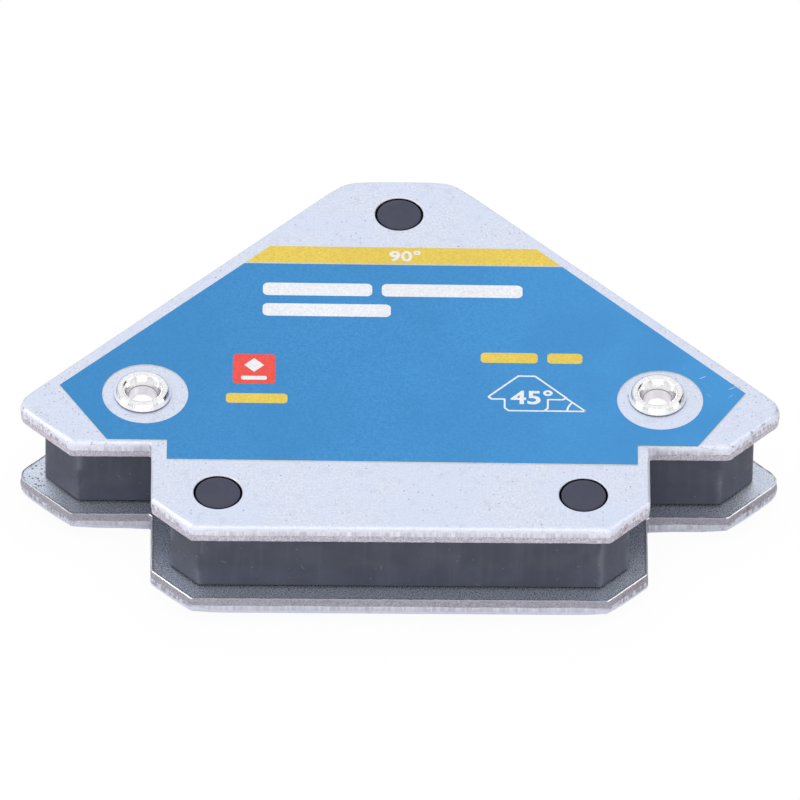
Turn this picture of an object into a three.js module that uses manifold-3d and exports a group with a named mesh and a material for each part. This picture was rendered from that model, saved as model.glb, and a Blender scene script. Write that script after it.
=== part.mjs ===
// Arrow-shaped welding magnet. Two blanked steel pole plates lie either side of a moulded plastic core
// that holds three ferrite blocks. Two semi-tubular rivets clinch the stack together, three plastic pegs
// locate the plates on the core, and a printed label covers the middle of the upper plate.
//
// Units are millimetres. X runs from tip to tip, Y from the base edge to the apex, and Z up through the
// stack. The origin is at the middle of the width, the length and the stack. The parts are drawn and
// placed with Y measured from the base edge, and the group that holds them is then moved back by half the
// length.

import * as THREE from "three";
import { mergeVertices } from "three/addons/utils/BufferGeometryUtils.js";
import Module from "manifold-3d";

const wasm = await Module();
wasm.setup();

// ---- Driving dimensions ----

const WIDTH = 95; // tip to tip
const LENGTH = 64; // base edge to apex edge
const PLATE = 2.5; // thickness of each pole plate
const CORE = 10; // thickness of the core and of the magnets

// Plate outline. Every sloping edge runs at 45 degrees.
const NOSE_Y = 22.4; // where the long slope and the wing chamfer would meet
const NOSE_RADIUS = 2.1;
const WING_Y = 15.2; // underside of the wings
const BASE_WIDTH = 62.2;
const BASE_CHAMFER = 5;
const CORNER_RADIUS = 1;
const SIDE_RADIUS = 0.6; // at the top of each base chamfer
const APEX_RADIUS = 3.6;
const NOTCH_RADIUS = 0.4;
const EDGE_ROLL = 0.45; // how far blanking draws a plate's edge down and in

// Core, set back from the plates' edges.
const CORE_INSET = 2.5;
const CORE_ROUNDING = 0.55; // a core corner's radius, as a share of the plate's
const CORE_WALL = 2;
const CORING_RADIUS = 1.2;

// Rivets. Each place, here and below, is [x, y].
const RIVET_AT = [32.2, 24.2];
const SHANK_RADIUS = 2.4;
const SHANK_CLEARANCE = 0.15;
const HEAD_RADIUS = 4;
const HEAD_HEIGHT = 1.1;
const HEAD_RIM = 0.3; // upright edge of the head, below its dome
const ROLL_RADIUS = 3.57; // outside of the clinched end
const ROLL_WIDTH = 1.5;
const ROLL_HEIGHT = 1.05;
const THROAT_DEPTH = 0.36; // from the upper plate's face to where the roll meets the bore
const BORE_RADIUS = 1.83;
const BORE_FLOOR_RADIUS = 1.38;
const BORE_DEPTH = 1.55; // from the upper plate's face

// Pegs.
const APEX_PEG_AT = [0, 57.75];
const BASE_PEG_AT = [22.75, 6.35];
const PEG_RADIUS = 2.8;
const PEG_RECESS = 0.1; // below each plate's outer face
const PEG_EDGE = 0.12;
const PEG_HOLE_RADIUS = 3.05; // in the plates
const PEG_SEAT_RADIUS = 2.85; // in the core

// Ferrite blocks, magnetised through their thickness.
const MAGNET_SIDE = 20;
const MAGNET_EDGE = 0.5;
const POCKET_CLEARANCE = 0.25;
const APEX_MAGNET_AT = [0, 43];
const BASE_MAGNET_AT = [12, 21.6];

// Label, laid on by hand a little off square.
const LABEL_THICKNESS = 0.1;
const LABEL_SHIFT = [0.3, -0.41];
const LABEL_SKEW = THREE.MathUtils.degToRad(-0.46);
const LABEL_TOP_Y = 51.8;
const LABEL_TOP_WIDTH = 33.6;
const LABEL_WIDTH = 85.9;
const LABEL_WING_WIDTH = 73.8;
const LABEL_WING_Y = 15.8;
const LABEL_BASE_WIDTH = 58.8;
const LABEL_BASE_Y = 12.35;
const LABEL_HOLE_RADIUS = 5.36;

const ARC_STEP = THREE.MathUtils.degToRad(15); // longest step along a rounded corner
const ROUND = 32; // sides of a full circle
const ROLL_STEPS = 2;

const stack = 2 * PLATE + CORE;
const noseX = WIDTH / 2 + NOSE_RADIUS * (Math.SQRT2 - 1); // of the square corner, before it is rounded

// ---- Outlines ----

// An outline is a list of corners, anticlockwise. A radius of 0 leaves the corner sharp.
function corner(x, y, radius) {
  return { at: new THREE.Vector2(x, y), radius };
}

function mirror([x, y]) {
  return [-x, y];
}

// The right half of an outline, listed upwards, joined to its mirror image.
function mirrored(rightHalf) {
  const leftHalf = rightHalf.map(({ at, radius }) => corner(-at.x, at.y, radius));
  return [...rightHalf, ...leftHalf.reverse()];
}

function rectangle([left, bottom], [right, top], radius) {
  return [
    corner(left, bottom, radius),
    corner(right, bottom, radius),
    corner(right, top, radius),
    corner(left, top, radius),
  ];
}

function square([x, y], side, radius) {
  const half = side / 2;
  return rectangle([x - half, y - half], [x + half, y + half], radius);
}

function plateCorners() {
  const wingX = noseX - (NOSE_Y - WING_Y);
  const apexX = noseX - (LENGTH - NOSE_Y);
  const baseX = BASE_WIDTH / 2;
  return mirrored([
    corner(baseX - BASE_CHAMFER, 0, CORNER_RADIUS),
    corner(baseX, BASE_CHAMFER, SIDE_RADIUS),
    corner(baseX, WING_Y, NOTCH_RADIUS),
    corner(wingX, WING_Y, CORNER_RADIUS),
    corner(noseX, NOSE_Y, NOSE_RADIUS),
    corner(apexX, LENGTH, APEX_RADIUS),
  ]);
}

function labelCorners() {
  const noseY = LABEL_TOP_Y - (LABEL_WIDTH - LABEL_TOP_WIDTH) / 2;
  return mirrored([
    corner(LABEL_BASE_WIDTH / 2, LABEL_BASE_Y, 0),
    corner(LABEL_BASE_WIDTH / 2, LABEL_WING_Y, 0),
    corner(LABEL_WING_WIDTH / 2, LABEL_WING_Y, 0),
    corner(LABEL_WIDTH / 2, noseY, 0),
    corner(LABEL_TOP_WIDTH / 2, LABEL_TOP_Y, 0),
  ]);
}

// Moves every edge of an outline inwards by a distance, and keeps a share of each corner's radius.
function insetBy(corners, distance, rounding) {
  const inward = (from, to) => {
    const along = to.clone().sub(from).normalize();
    return new THREE.Vector2(-along.y, along.x);
  };
  return corners.map(({ at, radius }, i) => {
    const before = inward(corners.at(i - 1).at, at);
    const after = inward(at, corners[(i + 1) % corners.length].at);
    const mitre = before.clone().add(after).multiplyScalar(distance / (1 + before.dot(after)));
    return corner(at.x + mitre.x, at.y + mitre.y, radius * rounding);
  });
}

// The points of an outline, with each corner replaced by an arc of its radius.
function rounded(corners) {
  return corners.flatMap(({ at, radius }, i) => {
    if (radius === 0) return [at];
    const toBefore = corners.at(i - 1).at.clone().sub(at).normalize();
    const toAfter = corners[(i + 1) % corners.length].at.clone().sub(at).normalize();
    const half = Math.acos(toBefore.dot(toAfter)) / 2;
    const bisector = toBefore.clone().add(toAfter).normalize();
    const centre = at.clone().addScaledVector(bisector, radius / Math.sin(half));
    const turn = Math.sign(toAfter.cross(toBefore)) * (Math.PI - 2 * half);
    const start = at.clone().addScaledVector(toBefore, radius / Math.tan(half));
    const steps = Math.ceil(Math.abs(turn) / ARC_STEP);
    return Array.from({ length: steps + 1 }, (_, k) =>
      start.clone().rotateAround(centre, (turn * k) / steps),
    );
  });
}

function circle([x, y], radius) {
  return Array.from({ length: ROUND }, (_, k) => {
    const angle = (2 * Math.PI * k) / ROUND;
    return new THREE.Vector2(x + radius * Math.cos(angle), y + radius * Math.sin(angle));
  });
}

function shapeOf(outline, holes = []) {
  const shape = new THREE.Shape(outline);
  shape.holes = holes.map((points) => new THREE.Path(points));
  return shape;
}

// ---- Solids ----

function toManifold(geometry) {
  const merged = mergeVertices(geometry.clone().deleteAttribute("normal").deleteAttribute("uv"));
  const vertProperties = merged.attributes.position.array;
  const triVerts = new Uint32Array(merged.index.array);
  return new wasm.Manifold(new wasm.Mesh({ numProp: 3, vertProperties, triVerts }));
}

function fromManifold(manifold) {
  const { vertProperties, triVerts } = manifold.getMesh();
  const geometry = new THREE.BufferGeometry();
  geometry.setAttribute("position", new THREE.BufferAttribute(vertProperties, 3));
  geometry.setIndex(new THREE.BufferAttribute(triVerts, 1));
  geometry.computeVertexNormals();
  return geometry;
}

function prism(shape, height) {
  return new THREE.ExtrudeGeometry(shape, { depth: height, bevelEnabled: false });
}

// A blanked sheet standing on z = 0, with punched holes. Its upper outside edge is drawn down over
// EDGE_ROLL, and its lower edge is sharp. A sheet rolled on both faces is sunk until its lower roll is
// below z = 0, then cut there.
function blankedSheet(outline, holes) {
  const rolled = new THREE.ExtrudeGeometry(shapeOf(outline), {
    depth: PLATE,
    bevelThickness: EDGE_ROLL,
    bevelSize: EDGE_ROLL,
    bevelOffset: -EDGE_ROLL,
    bevelSegments: ROLL_STEPS,
  });
  rolled.translate(0, 0, -EDGE_ROLL);
  const aboveFloor = new THREE.BoxGeometry(2 * WIDTH, 4 * LENGTH, 2 * PLATE);
  aboveFloor.translate(0, 0, PLATE);
  const blank = toManifold(rolled).intersect(toManifold(aboveFloor));
  const punches = holes.map((points) => prism(shapeOf(points), 3 * PLATE).translate(0, 0, -PLATE));
  return fromManifold(punches.reduce((sheet, punch) => sheet.subtract(toManifold(punch)), blank));
}

// A solid of revolution about Z from [radius, z] pairs, listed upwards from the axis and back to it.
function turned(profile) {
  const points = profile.map(([radius, z]) => new THREE.Vector2(radius, z));
  return new THREE.LatheGeometry(points, ROUND).rotateX(Math.PI / 2);
}

// [radius, z] pairs along part of an ellipse. Angles are in degrees, 0 along +radius and 90 along +z.
function ellipseArc([radius, z], [wide, tall], from, to, steps) {
  return Array.from({ length: steps + 1 }, (_, k) => {
    const angle = THREE.MathUtils.degToRad(from + ((to - from) * k) / steps);
    return [radius + wide * Math.cos(angle), z + tall * Math.sin(angle)];
  });
}

// ---- Materials ----

const zincSteel = new THREE.MeshStandardMaterial({ color: 0xd9dde8, roughness: 0.45, metalness: 0.9 });
const rivetSteel = new THREE.MeshStandardMaterial({ color: 0xf0efec, roughness: 0.15, metalness: 1 });
const darkPlastic = new THREE.MeshStandardMaterial({ color: 0x46485a, roughness: 0.5, metalness: 0 });
const ferrite = new THREE.MeshStandardMaterial({ color: 0x2b2a2c, roughness: 0.7, metalness: 0.1 });
const bluePrint = new THREE.MeshStandardMaterial({ color: 0x4491d2, roughness: 0.4, metalness: 0 });

// ---- Parts ----

const group = new THREE.Group();
group.position.y = -LENGTH / 2;

function place(name, geometry, material, [x, y], z) {
  const mesh = new THREE.Mesh(geometry, material);
  mesh.name = name;
  mesh.position.set(x, y, z);
  group.add(mesh);
  return mesh;
}

// Both pole plates are the same blank, laid with their rolled edges facing out.
function addPlates() {
  const holes = [
    ...[APEX_PEG_AT, BASE_PEG_AT, mirror(BASE_PEG_AT)].map((at) => circle(at, PEG_HOLE_RADIUS)),
    ...[RIVET_AT, mirror(RIVET_AT)].map((at) => circle(at, SHANK_RADIUS + SHANK_CLEARANCE)),
  ];
  const blank = blankedSheet(rounded(plateCorners()), holes);
  place("upper_plate", blank, zincSteel, [0, 0], CORE / 2);
  const lower = place("lower_plate", blank, zincSteel, [0, 0], -CORE / 2);
  lower.rotation.y = Math.PI;
}

// Openings in the right half that keep the core's walls even: one beside the apex magnet, and one under
// a base magnet.
function coringWindows() {
  const magnetWall = MAGNET_SIDE / 2 + POCKET_CLEARANCE + CORE_WALL; // from a magnet's centre
  const edgeWall = CORE_INSET + CORE_WALL;
  const slope = noseX + NOSE_Y - edgeWall * Math.SQRT2; // x + y along the inside of the sloping wall
  const sill = BASE_MAGNET_AT[1] + magnetWall;
  const besideApex = [
    corner(magnetWall, sill, CORING_RADIUS),
    corner(slope - sill, sill, CORING_RADIUS),
    corner(magnetWall, slope - magnetWall, CORING_RADIUS),
  ];
  const pegWall = BASE_PEG_AT[0] - PEG_SEAT_RADIUS - CORE_WALL;
  const underBase = rectangle(
    [CORE_WALL / 2, edgeWall],
    [pegWall, BASE_MAGNET_AT[1] - magnetWall],
    CORING_RADIUS,
  );
  return [rounded(besideApex), rounded(underBase)];
}

function addCore() {
  const pockets = [APEX_MAGNET_AT, BASE_MAGNET_AT, mirror(BASE_MAGNET_AT)].map((at) =>
    rounded(square(at, MAGNET_SIDE + 2 * POCKET_CLEARANCE, MAGNET_EDGE)),
  );
  const windows = coringWindows();
  const holes = [
    ...pockets,
    ...windows,
    ...windows.map((points) => points.map(({ x, y }) => new THREE.Vector2(-x, y))),
    ...[APEX_PEG_AT, BASE_PEG_AT, mirror(BASE_PEG_AT)].map((at) => circle(at, PEG_SEAT_RADIUS)),
    ...[RIVET_AT, mirror(RIVET_AT)].map((at) => circle(at, SHANK_RADIUS + SHANK_CLEARANCE)),
  ];
  const outline = rounded(insetBy(plateCorners(), CORE_INSET, CORE_ROUNDING));
  place("plastic_core", prism(shapeOf(outline, holes), CORE), darkPlastic, [0, 0], -CORE / 2);
}

function addMagnets() {
  const places = {
    apex_magnet: APEX_MAGNET_AT,
    left_magnet: mirror(BASE_MAGNET_AT),
    right_magnet: BASE_MAGNET_AT,
  };
  const block = prism(shapeOf(rounded(square([0, 0], MAGNET_SIDE, MAGNET_EDGE))), CORE);
  for (const [name, at] of Object.entries(places)) {
    place(name, block, ferrite, at, -CORE / 2);
  }
}

// A semi-tubular rivet, pushed up from below: an oval head under the lower plate, a solid shank, and a
// hollow end clinched over the upper plate into a round roll with a blind bore.
function rivet() {
  const top = stack / 2;
  const rollHalf = ROLL_WIDTH / 2;
  const rollCentre = [ROLL_RADIUS - rollHalf, top + ROLL_HEIGHT - rollHalf];
  const dome = ellipseArc([0, -top - HEAD_RIM], [HEAD_RADIUS, HEAD_HEIGHT - HEAD_RIM], -90, 0, 6);
  const roll = ellipseArc(rollCentre, [rollHalf, rollHalf], -12, 180, 10);
  return turned([
    ...dome,
    [HEAD_RADIUS, -top],
    [SHANK_RADIUS, -top],
    [SHANK_RADIUS, top],
    [ROLL_RADIUS - rollHalf / 4, top],
    ...roll,
    [BORE_RADIUS, top - THROAT_DEPTH],
    [BORE_FLOOR_RADIUS, top - BORE_DEPTH],
    [0, top - BORE_DEPTH],
  ]);
}

function peg() {
  const end = stack / 2 - PEG_RECESS;
  const faceRadius = PEG_RADIUS - PEG_EDGE;
  return turned([
    [0, -end],
    [faceRadius, -end],
    [PEG_RADIUS, -end + PEG_EDGE],
    [PEG_RADIUS, end - PEG_EDGE],
    [faceRadius, end],
    [0, end],
  ]);
}

function addFixings() {
  const clinched = rivet();
  place("left_rivet", clinched, rivetSteel, mirror(RIVET_AT), 0);
  place("right_rivet", clinched, rivetSteel, RIVET_AT, 0);
  const moulded = peg();
  place("apex_peg", moulded, darkPlastic, APEX_PEG_AT, 0);
  place("left_base_peg", moulded, darkPlastic, mirror(BASE_PEG_AT), 0);
  place("right_base_peg", moulded, darkPlastic, BASE_PEG_AT, 0);
}

// The label is turned about the point midway between the rivets, which its two round openings clear.
function addLabel() {
  const holes = [RIVET_AT, mirror(RIVET_AT)].map((at) => circle(at, LABEL_HOLE_RADIUS));
  const sheet = prism(shapeOf(rounded(labelCorners()), holes), LABEL_THICKNESS);
  const [, rivetY] = RIVET_AT;
  sheet.translate(0, -rivetY, 0);
  const at = [LABEL_SHIFT[0], rivetY + LABEL_SHIFT[1]];
  const label = place("face_label", sheet, bluePrint, at, stack / 2);
  label.rotation.z = LABEL_SKEW;
}

addPlates();
addCore();
addMagnets();
addFixings();
addLabel();

export default group;
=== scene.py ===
import math
from collections import namedtuple
from functools import partial, reduce

import bmesh
import bpy
from mathutils import Matrix, Vector, noise
from mathutils.geometry import delaunay_2d_cdt


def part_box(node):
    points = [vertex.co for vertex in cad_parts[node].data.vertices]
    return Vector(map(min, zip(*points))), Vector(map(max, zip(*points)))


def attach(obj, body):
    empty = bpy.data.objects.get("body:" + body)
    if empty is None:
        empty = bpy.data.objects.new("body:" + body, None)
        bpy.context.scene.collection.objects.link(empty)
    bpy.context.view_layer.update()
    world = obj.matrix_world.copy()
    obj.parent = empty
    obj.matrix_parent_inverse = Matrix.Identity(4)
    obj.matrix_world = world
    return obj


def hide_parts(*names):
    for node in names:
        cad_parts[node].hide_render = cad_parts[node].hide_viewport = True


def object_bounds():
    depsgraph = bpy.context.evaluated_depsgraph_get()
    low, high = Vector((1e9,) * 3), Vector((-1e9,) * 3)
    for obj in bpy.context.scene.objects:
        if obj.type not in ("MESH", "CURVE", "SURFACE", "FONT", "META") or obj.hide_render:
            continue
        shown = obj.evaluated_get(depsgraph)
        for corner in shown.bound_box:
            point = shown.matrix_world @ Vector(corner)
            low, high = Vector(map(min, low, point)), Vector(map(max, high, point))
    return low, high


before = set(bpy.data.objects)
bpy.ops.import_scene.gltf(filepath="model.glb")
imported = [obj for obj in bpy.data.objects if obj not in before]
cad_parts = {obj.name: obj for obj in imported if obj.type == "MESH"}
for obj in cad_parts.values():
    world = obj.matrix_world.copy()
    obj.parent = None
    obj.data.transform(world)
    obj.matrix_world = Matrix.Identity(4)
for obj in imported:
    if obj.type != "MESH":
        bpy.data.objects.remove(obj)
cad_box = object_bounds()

# Looks of an arrow-shaped welding magnet: two blanked zinc-plated steel plates on a dark moulded core,
# two clinched rivets, three pegs and a printed label. Shapes are drawn in millimetres, in the CAD frame:
# X from tip to tip, Y from the base edge towards the apex, Z out of the labelled face. Only the stage, at
# the end, is in metres.

MM = 0.001  # metres


def box(node):
    low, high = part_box(node)
    return low / MM, high / MM


def centre(node):
    low, high = box(node)
    return (low + high) / 2


# ---- Places and sizes taken from the frame ----

PLATE_LOW, PLATE_HIGH = box("upper_plate")
CORE_LOW, CORE_HIGH = box("plastic_core")
LABEL_LOW, LABEL_HIGH = box("face_label")
BASE_Y = PLATE_LOW.y
RIVETS = {name: centre(name) for name in ("left_rivet", "right_rivet")}
PEGS = {name: centre(name) for name in ("apex_peg", "left_base_peg", "right_base_peg")}
MAGNETS = ("apex_magnet", "left_magnet", "right_magnet")

# ---- Plate outline. Heights are measured from the base edge, and every slope runs at 45 degrees ----

NOSE_RISE = 22.4  # where the long slope and the wing chamfer would meet
NOSE_RADIUS = 2.1
WING_RISE = 15.2
BASE_HALF = 31.1
BASE_CHAMFER = 5.0
CORNER_RADIUS = 1.0
SIDE_RADIUS = 0.6
APEX_RADIUS = 3.6
NOTCH_RADIUS = 0.4

# ---- Blanked edge, from the rolled outer face to the burr ----

EDGE_STEP = 0.2  # along the edge
ROLL = 0.45
ROLL_DROP = 1.7  # how far down the roll reaches, as a share of how far in
CORNER_ROLL = 0.7  # how much further an outer corner is drawn down, as a share
CORNER_REACH = 2.2  # how far along the edge that extra draw fades
SUPPORT = 0.1  # from the roll to the first flat ring
SHEAR_DEPTH = 1.45  # where the burnished band ends
TEAR_TAPER = 0.09
BURR = 0.09
BURR_WIDTH = 0.24
PUNCH_ROLL = 0.14  # roll round a punched hole
WEAR = 0.02  # broad unevenness of the whole edge

# ---- Core ----

CORE_INSET = 2.5
CORE_ROUNDING = 0.55  # a core corner's radius, as a share of the plate's
CORING_RADIUS = 1.2  # in the corners of the coring windows
CORE_EDGE = 0.1
CORE_FOOT = 0.3  # depth of the groove where the core meets each plate
CORE_FOOT_HEIGHT = 0.16
CORE_WALL = 2.0
POCKET_CLEARANCE = 0.25
POCKET_RADIUS = 0.5

# ---- Fixings ----

HEAD_RIM = 0.3  # upright edge of the head, below its dome
HEAD_HEIGHT = 1.1
SHANK_RADIUS = 2.4
CLEARANCE = 0.15
FLANGE_RADIUS = 3.6  # outside of the clinched end
FLANGE_GAP = 0.05  # between the flange and the plate
RIM_RADIUS = 0.12
FLANGE_SLOPE_RADIUS = 3.3  # where the straight outer slope starts to round over into the crest
FLANGE_SLOPE_TOP = 0.68  # the same place's height above the plate
CREST_RADIUS = 2.85
THROAT_ROUND = 0.6  # radius of the crest's inner side
THROAT_DEPTH = 0.36  # from the plate's face to where the throat's cone meets the bore
BORE_RADIUS = 1.83
BORE_FLOOR_RADIUS = 1.38
BORE_DEPTH = 1.55  # from the plate's face
BEVEL = 0.06  # where two walls of the bore meet
PEG_EDGE = 0.16
PEG_DISH = 0.08
PEG_HOLE_RADIUS = 3.05
PEG_SEAT_RADIUS = 2.85

# ---- Label, in its own square frame. Heights are measured from the base edge ----

LABEL_SHIFT = Vector((0.3, -0.41))
LABEL_SKEW = math.radians(-0.46)
LABEL_TOP = 51.8
LABEL_TOP_HALF = 16.8
LABEL_HALF = 42.95
LABEL_WING_HALF = 36.9
LABEL_WING_RISE = 15.8
LABEL_BASE_HALF = 29.4
LABEL_BASE_RISE = 12.35
LABEL_OPENING = 5.36  # radius round a rivet
LABEL_CORNER = 0.12
FILM_EDGE = 0.02
BAND_FOOT = 48.75  # lower edge of the yellow band
BAND_LINE = 0.22  # pale line under the band
PRINT_MARGIN = 0.03
PRINT_CORNER = 0.05
INK = 0.012  # thickness of a layer of print
DIGIT_WEIGHT = 0.022  # how far digits are fattened, as a share of their height
DIGIT_STRETCH = 1.16
LINE = 0.24  # width of the pictogram's lines

# Places of print: the left, bottom, right and top of each bar, and the middle of the diamond.
BADGE = (-21.27, 26.29, -15.97, 31.69)
BADGE_BAR = (-20.22, 27.0, -17.02, 27.7)
DIAMOND_AT = (-18.62, 29.7)
DIAMOND_REACH = 1.25
TITLE_BARS = ((-17.65, 42.65, -3.9, 44.95), (-2.7, 42.65, 15.0, 44.95), (-17.65, 38.85, -1.55, 41.15))
YELLOW_BARS = ((-22.1, 22.75, -14.4, 24.5), (9.75, 30.65, 16.9, 32.5), (18.1, 30.65, 22.5, 32.5))

ROUND = 128  # steps round a rivet, a peg or a hole
ARC_STEP = 0.12  # along a rounded corner
SHARP = math.radians(35)  # faces that meet at more than this look sharp


# ---- Outlines: lists of (point, normal pointing out of the material) ----


def mirrored(right_half):
    """The right half of an outline, listed upwards, joined to its mirror image."""
    return right_half + [(-x, y, radius) for x, y, radius in reversed(right_half)]


def corner_arc(corners, i):
    x, y, radius = corners[i]
    at = Vector((x, y))
    before = (Vector(corners[i - 1][:2]) - at).normalized()
    after = (Vector(corners[(i + 1) % len(corners)][:2]) - at).normalized()
    half = before.angle(after) / 2
    hub = at + (before + after).normalized() * radius / math.sin(half)
    bend = 1 if after.cross(before) > 0 else -1
    turn = bend * (math.pi - 2 * half)
    spoke = at + before * radius / math.tan(half) - hub
    steps = max(2, math.ceil(abs(turn) * radius / ARC_STEP))
    arms = [Matrix.Rotation(turn * k / steps, 2) @ spoke for k in range(steps + 1)]
    return [(hub + arm, arm.normalized() * bend) for arm in arms]


def rounded(corners, step=math.inf):
    """A closed outline from anticlockwise corners (x, y, radius), with its straights cut into steps."""
    bends = [corner_arc(corners, i) for i in range(len(corners))]
    points = []
    for bend, following in zip(bends, bends[1:] + bends[:1]):
        points += bend
        start, normal = bend[-1]
        end = following[0][0]
        pieces = max(1, math.ceil((end - start).length / step))
        points += [(start.lerp(end, k / pieces), normal) for k in range(1, pieces)]
    return points


def inset(corners, distance, rounding=1.0):
    """Anticlockwise corners moved inwards, with a share of their own radius."""
    moved = []
    for i, (x, y, own) in enumerate(corners):
        at = Vector((x, y))
        before = (at - Vector(corners[i - 1][:2])).normalized().orthogonal()
        after = (Vector(corners[(i + 1) % len(corners)][:2]) - at).normalized().orthogonal()
        at += (before + after) * distance / (1 + before.dot(after))
        moved.append((at.x, at.y, own * rounding))
    return moved


def rectangle(left, bottom, right, top, radius):
    return [(left, bottom, radius), (right, bottom, radius), (right, top, radius), (left, top, radius)]


def turns():
    """Angles all the way round."""
    return [2 * math.pi * k / ROUND for k in range(ROUND)]


def hole(x, y, radius):
    """A round hole's rim. Its normals point at its axis, out of the material."""
    spokes = [Vector((math.cos(a), math.sin(a))) for a in turns()]
    return [(Vector((x, y)) + radius * spoke, -spoke) for spoke in spokes]


def nose_half():
    """Half the width between the noses' sharp corners, before they are rounded."""
    return PLATE_HIGH.x + NOSE_RADIUS * (math.sqrt(2) - 1)


def plate_corners():
    half = nose_half()
    top = PLATE_HIGH.y
    nose = BASE_Y + NOSE_RISE
    wing = BASE_Y + WING_RISE
    return mirrored([
        (BASE_HALF - BASE_CHAMFER, BASE_Y, CORNER_RADIUS),
        (BASE_HALF, BASE_Y + BASE_CHAMFER, SIDE_RADIUS),
        (BASE_HALF, wing, NOTCH_RADIUS),
        (half - (nose - wing), wing, CORNER_RADIUS),
        (half, nose, NOSE_RADIUS),
        (half - (top - nose), top, APEX_RADIUS),
    ])


def label_corners():
    rise = LABEL_TOP - (LABEL_HALF - LABEL_TOP_HALF)
    return mirrored([
        (LABEL_BASE_HALF, LABEL_BASE_RISE, LABEL_CORNER),
        (LABEL_BASE_HALF, LABEL_WING_RISE, LABEL_CORNER),
        (LABEL_WING_HALF, LABEL_WING_RISE, LABEL_CORNER),
        (LABEL_HALF, rise, LABEL_CORNER),
        (LABEL_TOP_HALF, LABEL_TOP, LABEL_CORNER),
    ])


# ---- Solids ----


# One ring of a wall: how far in it lies, its z and its zone. Roll and drop are more inset and more z, for
# an edge drawn down in blanking. Fine and broad wear the wall back unevenly; sway and teeth shift it in z.
Row = namedtuple("Row", "inset z zone roll drop fine broad sway teeth", defaults=(0,) * 7)


class Solid:
    """Vertices and faces of closed shells, in millimetres, with a zone value for the material."""

    def __init__(self):
        self.points = []
        self.zones = []
        self.faces = []

    def ring(self, points, zone=0.0):
        first = len(self.points)
        self.points += points
        self.zones += [zone] * len(points)
        return list(range(first, len(self.points)))

    def join(self, ring, other):
        """A band of quads between two rings of the same length."""
        for i, j in zip(range(len(ring)), [*range(1, len(ring)), 0]):
            self.faces.append((ring[i], ring[j], other[j], other[i]))

    def wall(self, outline, rows, gains=None):
        """Bands down a wall, one ring for each row. Returns the first and the last ring."""
        gains = gains or [1.0] * len(outline)
        rings = []
        for k, row in enumerate(rows):
            points = []
            for (at, normal), gain in zip(outline, gains):
                wear = row.fine * (1 + ripple(at, 1.6, k)) + row.broad * (1 + ripple(at, 0.3, 40))
                z = row.z + row.drop * gain + row.sway * ripple(at, 0.45, 7) + row.teeth * ripple(at, 2.3, 9)
                at = at - normal * (row.inset + row.roll * gain + wear)
                points.append(Vector((at.x, at.y, z)))
            rings.append(self.ring(points, row.zone))
        for ring, other in zip(rings, rings[1:]):
            self.join(ring, other)
        return rings[0], rings[-1]

    def fan(self, ring, tip):
        middle, = self.ring([tip])
        for i, j in zip(ring, ring[1:] + ring[:1]):
            self.faces.append((i, j, middle))

    def cap(self, loops):
        """Fills the flat between the first loop of vertices and the holes that the other loops bound."""
        ids = [v for loop in loops for v in loop]
        flat = [Vector(self.points[v][:2]) for v in ids]
        edges = []
        for loop in loops:
            first = len(edges)
            edges += [(first + i, first + (i + 1) % len(loop)) for i in range(len(loop))]
        _, _, faces, origins, _, _ = delaunay_2d_cdt(flat, edges, [], 1, 1e-7)
        rims = [[Vector(self.points[v][:2]) for v in loop] for loop in loops[1:]]
        for face in faces:
            corners = [origins[v][0] for v in face]
            middle = sum((flat[v] for v in corners), Vector((0, 0))) / len(corners)
            if not any(encloses(rim, middle) for rim in rims):
                self.faces.append(tuple(ids[v] for v in corners))

    def slab(self, outline, holes, low, high, edge=0.0):
        """A flat sheet from low to high, with an optional small chamfer round its upper rim."""
        rows = [Row(0, low), Row(0, high - edge)]
        if edge:
            rows.append(Row(edge, high))
        walls = [self.wall(rim, rows) for rim in [outline, *holes]]
        self.cap([lower for lower, _ in walls])
        self.cap([upper for _, upper in walls])


def ripple(at, scale, layer):
    """Repeatable smooth noise between -1 and 1 in the plane, different in each layer."""
    return noise.noise(Vector((at.x * scale, at.y * scale, layer * 3.7)))


def encloses(rim, at):
    inside = False
    for a, b in zip(rim, rim[1:] + rim[:1]):
        if (a.y > at.y) != (b.y > at.y):
            if at.x < a.x + (b.x - a.x) * (at.y - a.y) / (b.y - a.y):
                inside = not inside
    return inside


def add_piece(name, solid, material, replaced=None):
    """Makes a mesh piece that rides on the body, and hides the CAD node that it stands for."""
    mesh = bpy.data.meshes.new(name)
    mesh.from_pydata([Vector(p) * MM for p in solid.points], [], solid.faces)
    shape = bmesh.new()
    shape.from_mesh(mesh)
    bmesh.ops.recalc_face_normals(shape, faces=shape.faces)
    shape.to_mesh(mesh)
    shape.free()
    mesh.attributes.new("zone", "FLOAT", "POINT").data.foreach_set("value", solid.zones)
    mesh.shade_smooth()
    mesh.set_sharp_from_angle(angle=SHARP)
    mesh.materials.append(material)
    piece = bpy.data.objects.new(name, mesh)
    bpy.context.scene.collection.objects.link(piece)
    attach(piece, "root")
    if replaced:
        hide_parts(replaced)


# ---- Materials ----


def rgb(red, green, blue):
    """A linear colour from 0-255 screen values."""
    def linear(value):
        value /= 255
        return value / 12.92 if value <= 0.04045 else ((value + 0.055) / 1.055) ** 2.4
    return (linear(red), linear(green), linear(blue), 1.0)


WHITE = rgb(255, 255, 255)


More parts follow.
